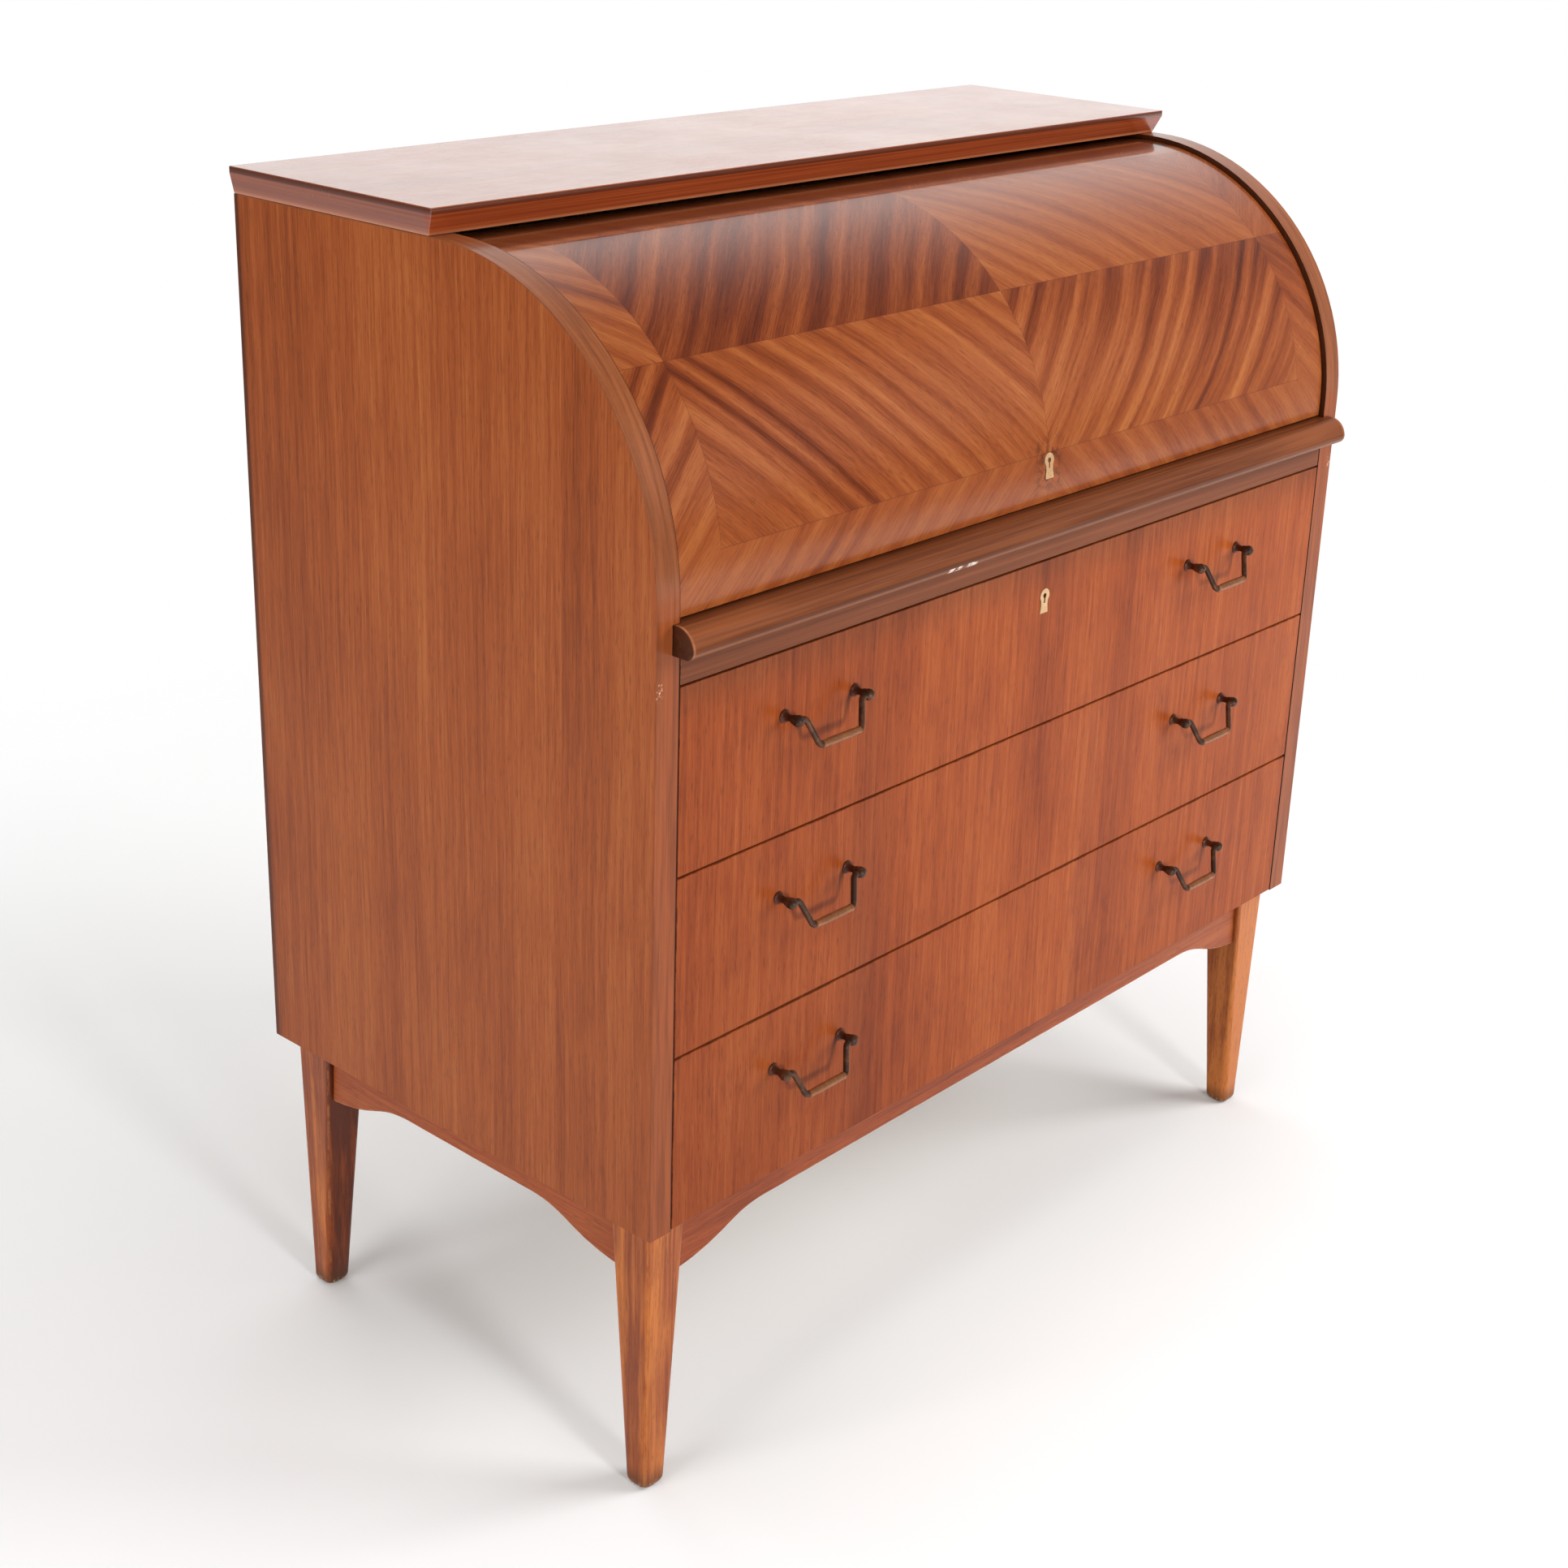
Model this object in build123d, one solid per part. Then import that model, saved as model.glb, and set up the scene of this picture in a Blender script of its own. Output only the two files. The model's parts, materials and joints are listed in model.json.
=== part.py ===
from build123d import *
import math
import os

# Cylinder-front writing desk, all sizes in millimetres.
# Build frame: X to the right, Y towards the back with 0 at the case front, Z up from the floor.

# Case
case_width = 900.0
case_depth = 456.0
side_thickness = 22.0
roll_radius = 220.0           # front-top curve of the side panels
axis_above_rail = 12.6        # roll axis over the top of the slide's rail
back_thickness = 6.0
back_setback = 1.5
rebate_width = 8.0
bottom_thickness = 14.0
joint_play = 0.5              # loose fit of a panel in its rebate

# Top board
board_thickness = 21.0
board_overhang = 3.6
board_front = 222.5
board_strip = 5.0             # upright strip above the undercut
board_undercut = 7.5

# Base
leg_height = 248.0
leg_top = 41.0
leg_foot = 23.5
leg_inset_side = 12.0         # leg behind the side face of the case
leg_inset_front = 14.0        # leg behind the front and back of the case
foot_step = 2.5               # foot behind the top of its leg
leg_corner = 3.0
foot_corner = 6.0
foot_rounding = 5.0
apron_set_back = 5.8          # apron behind the faces of its legs
apron_thickness = 20.0
apron_height_side = 30.8
apron_height_front = 34.8
bracket_drop = 22.0
bracket_length = 98.0
block_size = 28.0
block_height = 30.0

# Drawers
drawer_count = 3
drawer_pitch = 146.8
drawer_gap = 1.8
front_thickness = 20.0
drawer_length = 400.0
box_height = 106.0
box_wall = 10.0
panel_thickness = 5.0
panel_lift = 6.0
groove_depth = 4.0
runner_height = 10.0
runner_play = 0.3

# Handles
handle_left = 172.0           # handle centre from the left face of the case
handle_right = 196.0          # handle centre from the right face of the case
handle_rise = 22.0            # posts over the middle of the drawer front
post_spacing = 79.0
post_reach = 14.0
post_radius = 3.2
rosette_radius = 6.0
rosette_thickness = 2.0
eye_radius = 4.6
bail_radius = 2.4
bail_drop = 21.0
bail_bow = 8.0
bail_bar = 47.0               # straight bar at the bottom of the bail
bar_radius = 3.1
bail_bend = 4.0
bail_inset = 5.5              # bail arm inside its post

# Writing slide
rail_height = 47.0
rail_thickness = 20.0
nose_height = 22.4
nose_reach = 20.0
nose_lap = 7.5                # nose over each side panel's front edge
nose_flat = 6.0
nose_gap = 0.4
slide_thickness = 20.0
slide_drop = 2.0              # writing surface below the rail's top
slide_length = 336.0
slide_travel = 200.0
slide_play = 0.4
fit_gap = 1.2                 # drawer fronts and rail between the sides
bed_thickness = 18.0
bed_rail_width = 40.0
bed_rear_width = 62.0

# Cylinder front
shell_drop = 4.0              # shell below the side panels' curve
shell_thickness = 12.0
shell_side_gap = 1.5
shell_foot_gap = 1.0
shell_top_angle = 97.0
roll_angle = 88.0
cheek_thickness = 14.0
cheek_gap = 0.2
hub_radius = 11.0
pin_radius = 5.0
pin_seat = 12.0
running_gap = 0.06

# Link between slide and cylinder
plate_thickness = 3.0
lever_gap = 1.5               # lever off the side panel
plate_gap = 2.0
lever_width = 46.0
lever_tail = 60.0
stud_radius = 4.0
slot_width = 26.0
slot_play = 1.5
bracket_width = 28.0
toe_length = 18.0
toe_gap = 1.0

# Inside fitment
fitment_gap = 4.0
fitment_lift = 3.0
fitment_front = 8.0           # front edge behind the roll axis
fitment_reach = 175.0         # back edge behind the roll axis
fitment_top_reach = 110.0
board_thin = 8.0
shelf_thickness = 6.0
tier_height = 60.0
upper_height = 93.0
bay_half = 135.0              # half of the middle bay
outer_bay = 270.0
plinth_width = 12.0
tray_wall = 6.0
tray_floor = 4.0
tray_front = 12.0
tray_setback = 2.0
tray_length = 150.0
tray_gap = 0.8
tray_drop = 14.0              # tray wall below the front's upper edge
notch_radius = 15.0

# Locks and key plates
plate_round = 6.0
plate_drop = 15.0             # round head to foot of the key plate
plate_foot = 10.5
key_plate = 1.2
key_plate_proud = 0.5
keyhole_radius = 2.2
keyhole_slit = 1.9
keyhole_drop = 6.5
drawer_key_drop = 30.0        # keyhole below the front's upper edge
roll_key_rise = 23.0          # keyhole over the roll axis
lock_width = 56.0
lock_height = 30.0
lock_depth = 11.0
lock_gap = 3.0

# Screws in the back
screw_radius = 1.6
screw_head = 3.6
screw_head_height = 1.4
screw_length = 20.0
screw_rows = 6
screw_margin = 40.0
screw_play = 0.05

# Worked-out places
half = case_width / 2
inner = half - side_thickness
z_rail = leg_height + drawer_count * drawer_pitch
z_rail_top = z_rail + rail_height
axis_y = roll_radius
axis_z = z_rail_top + axis_above_rail
z_top = axis_z + roll_radius
y_panel = case_depth - back_setback - back_thickness
z_slide = z_rail_top - slide_drop - slide_thickness
z_slide_top = z_slide + slide_thickness
z_bed = z_slide - slide_play - bed_thickness
z_bed_top = z_bed + bed_thickness
y_bed_rear = y_panel - bed_rear_width
y_bed_front = rail_thickness + slide_play
shell_outer = roll_radius - shell_drop
shell_inner = shell_outer - shell_thickness
lever_side = inner - lever_gap
cheek_side = lever_side - plate_thickness
bracket_side = cheek_side - plate_gap
slide_half = bracket_side - plate_thickness
box_half = slide_half - plate_gap
fitment_half = cheek_side - cheek_thickness - fitment_gap
swing = math.radians(roll_angle / 2)
stud_y = slide_travel / 2
stud_drop = stud_y / math.tan(swing)
stud_far = stud_y / math.sin(swing)
z_stud = axis_z - stud_drop
handle_reach = post_reach + bail_bow + bar_radius
front_reach = max(nose_reach, handle_reach)
middle_y = (case_depth - front_reach) / 2
handle_places = (handle_left - half, half - handle_right)

os.makedirs("parts", exist_ok=True)


def slab(x0, x1, y0, y1, z0, z1):
    """Box between two corners."""
    return Pos((x0 + x1) / 2, (y0 + y1) / 2, (z0 + z1) / 2) * Box(x1 - x0, y1 - y0, z1 - z0)


def mirrored(solid):
    """The same piece on the other side of the desk."""
    return mirror(solid, Plane.YZ)


def rod_x(x0, x1, y, z, radius):
    """Round bar along X."""
    return Pos((x0 + x1) / 2, y, z) * Rot(0, 90, 0) * Cylinder(radius, x1 - x0)


def rod_y(y0, y1, x, z, radius):
    """Round bar along Y."""
    return Pos(x, (y0 + y1) / 2, z) * Rot(90, 0, 0) * Cylinder(radius, y1 - y0)


def prism_x(outline, x0, x1):
    """Face drawn in Y and Z, stretched from x0 to x1."""
    return extrude(Plane.YZ.offset(x0) * make_face(outline), x1 - x0)


def save(node, *solids):
    """Write one node, with the origin under the middle of the whole desk."""
    placed = [Pos(0, -middle_y, 0) * solid for solid in solids]
    shape = placed[0] if len(placed) == 1 else Compound(children=placed)
    export_step(shape, f"parts/{node}.step")


def screw_places():
    """Centre lines of the back panel's screws, in X and Z."""
    step = (z_top - leg_height - 2 * screw_margin) / (screw_rows - 1)
    x = inner + rebate_width / 2
    heights = [leg_height + screw_margin + row * step for row in range(screw_rows)]
    return [(side * x, z) for side in (-1, 1) for z in heights]


def screw_hole(x, z):
    return rod_y(y_panel - screw_length, case_depth, x, z, screw_radius + screw_play)


# Case

def side_panel():
    """Left side: upright board with a quarter-round front-top corner."""
    front_edge = [(0, axis_z), (0, leg_height)]
    back_edge = [(case_depth, leg_height), (case_depth, z_top)]
    outline = Polyline(*front_edge, *back_edge, (axis_y, z_top))
    outline += CenterArc((axis_y, axis_z), roll_radius, 90, 90)
    panel = prism_x(outline, -half, -inner)
    panel -= slab(-inner - rebate_width, -inner, y_panel, case_depth, leg_height, z_top)
    panel -= rod_x(-inner - pin_seat, -inner, axis_y, axis_z, pin_radius + running_gap / 3)
    for x, z in screw_places()[:screw_rows]:
        panel -= screw_hole(x, z)
    return panel


def top_board():
    """Board whose front and end edges are cut under below a thin upright strip."""
    reach = half + board_overhang
    z_strip = z_top + board_thickness - board_strip
    upper = slab(-reach, reach, board_front, case_depth, z_strip, z_strip + board_strip)
    middle = board_front + (case_depth - board_front) / 2
    depth = case_depth - board_front
    face_high = Pos(0, middle, z_strip) * Rectangle(2 * reach, depth)
    face_low = Pos(0, middle + board_undercut / 2, z_top) * Rectangle(2 * half, depth - board_undercut)
    return upper + loft([face_low, face_high])


def back_panel():
    reach = inner + rebate_width - joint_play
    panel = slab(-reach, reach, y_panel, y_panel + back_thickness, leg_height, z_top)
    for x, z in screw_places():
        panel -= screw_hole(x, z)
    return panel


def back_screw(x, z):
    face = y_panel + back_thickness
    head = rod_y(face, face + screw_head_height, x, z, screw_head)
    return head + rod_y(y_panel - screw_length, face, x, z, screw_radius)


save("side_panel_left", side_panel())
save("side_panel_right", mirrored(side_panel()))
save("top_board", top_board())
save("back_panel", back_panel())
save("back_screws", *[back_screw(x, z) for x, z in screw_places()])
y_inside = front_thickness + joint_play
save("case_bottom", slab(-inner, inner, y_inside, y_panel, leg_height, leg_height + bottom_thickness))

# Base

def leg():
    """Front left leg: square, tapered mostly on its inner faces, with a worn round foot."""
    x = leg_inset_side - half
    y = leg_inset_front
    top_middle = leg_top / 2
    foot_middle = foot_step + leg_foot / 2
    top = Pos(x + top_middle, y + top_middle, leg_height) * RectangleRounded(leg_top, leg_top, leg_corner)
    foot = Pos(x + foot_middle, y + foot_middle, 0) * RectangleRounded(leg_foot, leg_foot, foot_corner)
    solid = loft([foot, top])
    return fillet(solid.edges().group_by(Axis.Z)[0], foot_rounding)


def to_back(solid):
    return mirror(solid, Plane.XZ.offset(-case_depth / 2))


legs = {"front_left": leg(), "front_right": mirrored(leg())}
legs["rear_left"] = to_back(legs["front_left"])
legs["rear_right"] = to_back(legs["front_right"])
for place, solid in legs.items():
    save(f"leg_{place}", solid)


def apron_outline(span, height):
    """Rail between two legs that stand span apart, with a curved bracket that drops towards each leg."""
    inner_face = span / 2
    end = inner_face + leg_top / 2
    z_mid = leg_height - height
    z_low = z_mid - bracket_drop
    start = inner_face - bracket_length
    right = [(start, z_mid), (start + 0.42 * bracket_length, z_mid)]
    right += [(inner_face - 0.55 * bracket_length, z_low + 0.25 * bracket_drop), (inner_face, z_low)]
    left = [(-x, z) for x, z in reversed(right)]
    outline = Bezier(*right) + Bezier(*left) + Line(left[-1], right[0])
    return outline + Polyline(
        right[-1], (end, z_low), (end, leg_height), (-end, leg_height), (-end, z_low), left[0]
    )


def apron(span, height, placed):
    solid = placed * extrude(make_face(apron_outline(span, height)), apron_thickness)
    for neighbour in legs.values():
        solid -= neighbour
    return solid


front_span = case_width - 2 * (leg_inset_side + leg_top)
side_span = case_depth - 2 * (leg_inset_front + leg_top)
x_apron = leg_inset_side + apron_set_back - half
y_apron = leg_inset_front + apron_set_back + apron_thickness
apron_front = apron(front_span, apron_height_front, Plane((0, y_apron, 0), (1, 0, 0), (0, -1, 0)))
apron_left = apron(side_span, apron_height_side, Plane((x_apron, case_depth / 2, 0), (0, 1, 0), (1, 0, 0)))
save("apron_front", apron_front)
save("apron_rear", to_back(apron_front))
save("apron_left", apron_left)
save("apron_right", mirrored(apron_left))


def corner_block():
    """Glue block behind the front left leg, under the case bottom."""
    x = leg_inset_side + leg_top - half
    return slab(x, x + block_size, y_apron, y_apron + block_size, leg_height - block_height, leg_height)


block = corner_block()
save("corner_blocks", block, mirrored(block), to_back(block), to_back(mirrored(block)))

# Slide bed and drawer runners

save("bed_rail_front", slab(-inner, inner, y_bed_front, y_bed_front + bed_rail_width, z_bed, z_bed_top))
save("bed_rail_rear", slab(-inner, inner, y_bed_rear, y_panel, z_bed, z_bed_top))
save("slide_bed", slab(-box_half, box_half, y_bed_front + bed_rail_width, y_bed_rear, z_bed, z_bed_top))


def front_bottom(index):
    """Lower edge of a drawer front, counted from the top drawer."""
    return z_rail - (index + 1) * drawer_pitch + drawer_gap / 2


def box_bottom(index):
    """The lowest box runs on the case bottom, and the others sit the same way in their bays."""
    return z_rail - (index + 1) * drawer_pitch + bottom_thickness + runner_play


def runner(index):
    """Strip on the left side that carries one drawer."""
    top = box_bottom(index) - runner_play
    return slab(-inner, box_wall - box_half, y_inside, y_panel, top - runner_height, top)


runners = [runner(index) for index in range(drawer_count - 1)]
save("drawer_runners", *runners, *[mirrored(strip) for strip in runners])

# Keyholes, key plates and locks, drawn on an upright plane with the keyhole's centre at its origin

def key_plate_outline():
    flank = plate_round * math.cos(math.radians(40))
    neck = -plate_round * math.sin(math.radians(40))
    foot = plate_foot / 2
    return CenterArc((0, 0), plate_round, -40, 260) + Polyline(
        (-flank, neck), (-foot * 0.8, neck - 0.3 * plate_drop), (-foot, -plate_drop),
        (foot, -plate_drop), (foot * 0.8, neck - 0.3 * plate_drop), (flank, neck)
    )


def keyhole(depth):
    slit = Pos(0, -keyhole_drop / 2) * Rectangle(keyhole_slit, keyhole_drop)
    return extrude(Circle(keyhole_radius) + slit, depth, both=True)


def key_plate_solid():
    """Brass plate, let in so that it stands a little proud of the wood."""
    blank = Pos(0, 0, key_plate_proud - key_plate) * extrude(make_face(key_plate_outline()), key_plate)
    return blank - keyhole(key_plate)


def key_plate_pocket():
    return Pos(0, 0, key_plate_proud - key_plate) * extrude(make_face(key_plate_outline()), key_plate)


def lock_solid():
    """Box lock with a bolt plate along its upper edge, behind the wood."""
    reach = lock_width / 2
    z1 = lock_height / 3
    body = slab(-reach, reach, z1 - lock_height, z1, -lock_depth, 0)
    cap = slab(lock_gap - reach, reach - lock_gap, z1, z1 + lock_gap, lock_gap - lock_depth, 0)
    return body + cap - keyhole(2 * lock_depth)


# Drawers

def drawer_front(index):
    z0 = front_bottom(index)
    z1 = z0 + drawer_pitch - drawer_gap
    solid = slab(fit_gap - inner, inner - fit_gap, 0, front_thickness, z0, z1)
    if index == 0:
        face = Plane((0, 0, z1 - drawer_key_drop), (1, 0, 0), (0, -1, 0))
        solid -= face * key_plate_pocket()
        solid -= face * keyhole(front_thickness + lock_depth)
    return solid


def drawer_panel(index):
    reach = box_half - box_wall + groove_depth
    z0 = box_bottom(index) + panel_lift
    return slab(-reach, reach, front_thickness, drawer_length - box_wall, z0, z0 + panel_thickness)


def drawer_box(index):
    """Two grooved sides and a back."""
    z0 = box_bottom(index)
    z1 = z0 + box_height
    side = slab(-box_half, box_wall - box_half, front_thickness, drawer_length, z0, z1)
    side -= drawer_panel(index)
    back = slab(box_wall - box_half, box_half - box_wall, drawer_length - box_wall, drawer_length, z0, z1)
    return side, mirrored(side), back


def handle_height(index):
    return front_bottom(index) + (drawer_pitch - drawer_gap) / 2 + handle_rise


def handle_post(x, z):
    """Turned post with a pierced eye that carries one end of the bail."""
    stem = rod_y(-post_reach, 0, 0, 0, post_radius)
    rosette = rod_y(-rosette_thickness, 0, 0, 0, rosette_radius)
    eye = Pos(0, -post_reach, 0) * Sphere(eye_radius)
    hole = rod_x(-2 * eye_radius, 2 * eye_radius, -post_reach, 0, bail_radius + running_gap)
    return Pos(x, 0, z) * (stem + rosette + eye - hole)


def bail(x, z):
    """Bent rod: a pin through each eye, two arms that lean outwards, and a thicker bar."""
    pin = post_spacing / 2 + eye_radius
    arm = post_spacing / 2 - bail_inset - eye_radius / 2
    length = math.hypot(bail_drop, bail_bow)
    points = [(-pin, 0), (-arm, 0), (-bail_bar / 2, -length), (bail_bar / 2, -length), (arm, 0), (pin, 0)]
    path = FilletPolyline(*points, radius=bail_bend)
    start = Plane(origin=path @ 0, z_dir=path % 0)
    rod = sweep(start * Circle(bail_radius), path=path)
    reach = bail_bar / 2 - bail_bend
    rod += Pos(0, -length, 0) * Rot(0, 90, 0) * Cylinder(bar_radius, 2 * reach)
    hanging = Plane((x, -post_reach, z), (1, 0, 0), (0, -bail_drop, bail_bow))
    return hanging * rod


for index in range(drawer_count):
    name = f"drawer_{index + 1}"
    z_post = handle_height(index)
    save(f"{name}_front", drawer_front(index))
    save(f"{name}_box", *drawer_box(index))
    save(f"{name}_bottom", drawer_panel(index))
    ends = (-post_spacing / 2, post_spacing / 2)
    save(f"{name}_posts", *[handle_post(x + end, z_post) for x in handle_places for end in ends])
    for side, x in zip(("left", "right"), handle_places):
        save(f"{name}_bail_{side}", bail(x, z_post))

drawer_key_face = Plane((0, 0, z_rail - drawer_gap / 2 - drawer_key_drop), (1, 0, 0), (0, -1, 0))
save("drawer_1_key_plate", drawer_key_face * key_plate_solid())
save("drawer_1_lock", drawer_key_face * Pos(0, 0, -front_thickness) * lock_solid())

# Writing slide

def slide_rail():
    """Front rail: plain fascia between the sides under a rounded nose that laps their edges."""
    z_nose = z_rail_top - nose_height
    reach = inner - fit_gap
    core = slab(-reach, reach, 0, rail_thickness, z_rail + drawer_gap / 2, z_rail_top)
    z_tip = z_nose + 0.38 * nose_height
    back = Polyline(
        (-0.72 * nose_reach, z_nose), (-nose_gap, z_nose), (-nose_gap, z_rail_top), (-nose_flat, z_rail_top)
    )
    crown = ThreePointArc(
        (-nose_flat, z_rail_top), (-0.82 * nose_reach, z_nose + 0.74 * nose_height), (-nose_reach, z_tip)
    )
    chin = ThreePointArc(
        (-nose_reach, z_tip), (-0.93 * nose_reach, z_nose + 0.12 * nose_height), (-0.72 * nose_reach, z_nose)
    )
    nose = prism_x(back + crown + chin, -inner - nose_lap, inner + nose_lap)
    return core + nose + slab(-reach, reach, -nose_gap, 0, z_nose, z_rail_top)


def slide_bracket():
    """Left steel plate under the slide: a stud for the lever and a toe that hooks under the bed."""
    y0 = axis_y + stud_y - bracket_width / 2
    y1 = y0 + bracket_width
    plate = slab(-bracket_side, -slide_half, y0, y1, z_stud - bracket_width / 2, z_slide_top)
    z_toe = z_bed - toe_gap
    toe = slab(-slide_half, toe_length - box_half, y0, y1, z_toe - plate_thickness, z_toe)
    stud = rod_x(-lever_side, -bracket_side, axis_y + stud_y, z_stud, stud_radius)
    return plate + toe + stud


save("slide_board", slab(-slide_half, slide_half, rail_thickness, slide_length, z_slide, z_slide_top))
save("slide_rail", slide_rail())
save("slide_brackets", slide_bracket(), mirrored(slide_bracket()))

# Cylinder front

def shell():
    """Bent panel about the roll axis, from just over the rail to under the top board."""
    dip = axis_above_rail - shell_foot_gap
    high = 180 - shell_top_angle
    outer_turn = shell_top_angle + math.degrees(math.asin(dip / shell_outer))
    inner_turn = shell_top_angle + math.degrees(math.asin(dip / shell_inner))
    outer_arc = CenterArc((axis_y, axis_z), shell_outer, high, outer_turn)
    inner_arc = CenterArc((axis_y, axis_z), shell_inner, high, inner_turn)
    outline = outer_arc + inner_arc + Line(outer_arc @ 0, inner_arc @ 0) + Line(outer_arc @ 1, inner_arc @ 1)
    return prism_x(outline, shell_side_gap - inner, inner - shell_side_gap)


def roll_key_face():
    """Plane that touches the shell at the keyhole, facing out."""
    lean = math.asin(roll_key_rise / shell_outer)
    out = (0, -math.cos(lean), math.sin(lean))
    origin = (0, axis_y + shell_outer * out[1], axis_z + shell_outer * out[2])
    return Plane(origin, (1, 0, 0), out)


def cheek():
    """Left end board of the cylinder, from the hub to the inside of the shell."""
    reach = shell_inner - cheek_gap
    high = 180 - shell_top_angle
    dip = math.degrees(math.asin(hub_radius / reach))
    rim = CenterArc((axis_y, axis_z), reach, high, shell_top_angle + dip)
    hub = CenterArc((axis_y, axis_z), hub_radius, 270, high)
    web = rim + Line(rim @ 1, (axis_y, axis_z - hub_radius)) + hub + Line(hub @ 1, rim @ 0)
    board = prism_x(web, -cheek_side, cheek_thickness - cheek_side)
    return board - rod_x(-half, 0, axis_y, axis_z, pin_radius + running_gap)


def lever():
    """Left steel lever, fixed to the cheek, with a slot for the slide's stud."""
    tip = stud_far + stud_radius + slot_play + (lever_width - slot_width) / 2
    bar_length = tip + lever_tail
    slot_near = stud_drop - stud_radius - slot_play
    slot_far = stud_far + stud_radius + slot_play
    bar = Pos((tip - lever_tail) / 2, 0) * SlotOverall(bar_length, lever_width)
    window = Pos((slot_near + slot_far) / 2, 0) * RectangleRounded(
        slot_far - slot_near + lever_width / 8, slot_width, slot_width / 3
    )
    flat = bar - window - Circle(pin_radius + running_gap)
    angle = math.radians(roll_angle / 2)
    along = (0, math.sin(angle), -math.cos(angle))
    face = Plane((-lever_side, axis_y, axis_z), along, (1, 0, 0))
    return face * extrude(flat, plate_thickness)


key_face = roll_key_face()
cylinder = shell() - key_face * key_plate_pocket() - key_face * keyhole(shell_thickness + lock_depth)
save("cylinder_shell", cylinder)
save("cylinder_cheeks", cheek(), mirrored(cheek()))
save("levers", lever(), mirrored(lever()))
save("cylinder_key_plate", key_face * key_plate_solid())
sagitta = shell_inner - math.sqrt(shell_inner**2 - (2 * lock_height / 3) ** 2)
save("cylinder_lock", key_face * Pos(0, 0, -shell_thickness - sagitta) * lock_solid())
pin_end = cheek_side - cheek_thickness
pivot = rod_x(-inner - pin_seat, -pin_end, axis_y, axis_z, pin_radius)
save("pivot_pins", pivot, mirrored(pivot))

# Inside fitment

y_fit = axis_y + fitment_front
y_fit_rear = axis_y + fitment_reach
y_fit_top = axis_y + fitment_top_reach
z_floor = z_slide_top + fitment_lift
z_tier = z_floor + board_thin
z_shelf = z_tier + tier_height
z_upper = z_shelf + shelf_thickness
z_cover = z_upper + upper_height
end_inner = fitment_half - board_thin


def fitment_end():
    """Left end board, cut back behind so that the rolled-up cylinder clears it."""
    outline = Polyline(
        (y_fit, z_tier), (y_fit, z_cover), (y_fit_top, z_cover), (y_fit_rear, z_shelf + shelf_thickness),
        (y_fit_rear, z_tier), close=True
    )
    return prism_x(outline, -fitment_half, -end_inner)


def upright(x, y_rear, z0, z1):
    return slab(x - shelf_thickness / 2, x + shelf_thickness / 2, y_fit, y_rear, z0, z1)


y_lower_back = y_fit_rear - shelf_thickness
y_upper_back = y_fit_top - shelf_thickness
plinth_front = slide_length + fitment_gap
save("fitment_plinth",
     slab(-end_inner, end_inner, plinth_front, plinth_front + plinth_width, z_bed_top, z_floor),
     slab(-end_inner, end_inner, y_fit_rear - plinth_width, y_fit_rear, z_bed_top, z_floor))
save("fitment_floor", slab(-fitment_half, fitment_half, y_fit, y_fit_rear, z_floor, z_tier))
save("fitment_ends", fitment_end(), mirrored(fitment_end()))
save("fitment_shelf", slab(-end_inner, end_inner, y_fit, y_fit_rear, z_shelf, z_upper))
save("fitment_top", slab(-fitment_half, fitment_half, y_fit, y_fit_top, z_cover, z_cover + shelf_thickness))
save("fitment_back",
     slab(-end_inner, end_inner, y_lower_back, y_fit_rear, z_tier, z_shelf),
     slab(-end_inner, end_inner, y_upper_back, y_fit_top, z_upper, z_cover))
uprights = [upright(x, y_lower_back, z_tier, z_shelf) for x in (-bay_half, bay_half)]
upper_places = (-outer_bay, -bay_half, bay_half, outer_bay)
uprights += [upright(x, y_upper_back, z_upper, z_cover) for x in upper_places]
save("fitment_dividers", *uprights)


def tray_front_board(x0, x1):
    """Small drawer front with a scooped finger notch."""
    z1 = z_shelf - tray_gap
    y0 = y_fit + tray_setback
    board = slab(x0, x1, y0, y0 + tray_front, z_tier + runner_play, z1)
    return board - rod_y(y0 - tray_front, y0 + 2 * tray_front, (x0 + x1) / 2, z1, notch_radius)


def tray_box(x0, x1):
    """Sides, back and floor of a small drawer."""
    y0 = y_fit + tray_setback + tray_front
    y1 = y0 + tray_length - tray_front
    z0 = z_tier + runner_play
    z1 = z_shelf - tray_drop
    floor = slab(x0, x1, y0, y1, z0, z0 + tray_floor)
    near = slab(x0, x0 + tray_wall, y0, y1, z0 + tray_floor, z1)
    far = slab(x1 - tray_wall, x1, y0, y1, z0 + tray_floor, z1)
    back = slab(x0 + tray_wall, x1 - tray_wall, y1 - tray_wall, y1, z0 + tray_floor, z1)
    return floor, near, far, back


tray_outer = end_inner - tray_gap
tray_near = bay_half + shelf_thickness / 2 + tray_gap
for side, (x0, x1) in {"left": (-tray_outer, -tray_near), "right": (tray_near, tray_outer)}.items():
    save(f"small_drawer_{side}_front", tray_front_board(x0, x1))
    save(f"small_drawer_{side}_box", *tray_box(x0, x1))
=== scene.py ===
import json
import math

import bmesh
import bpy
from mathutils import Matrix, Vector


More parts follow.
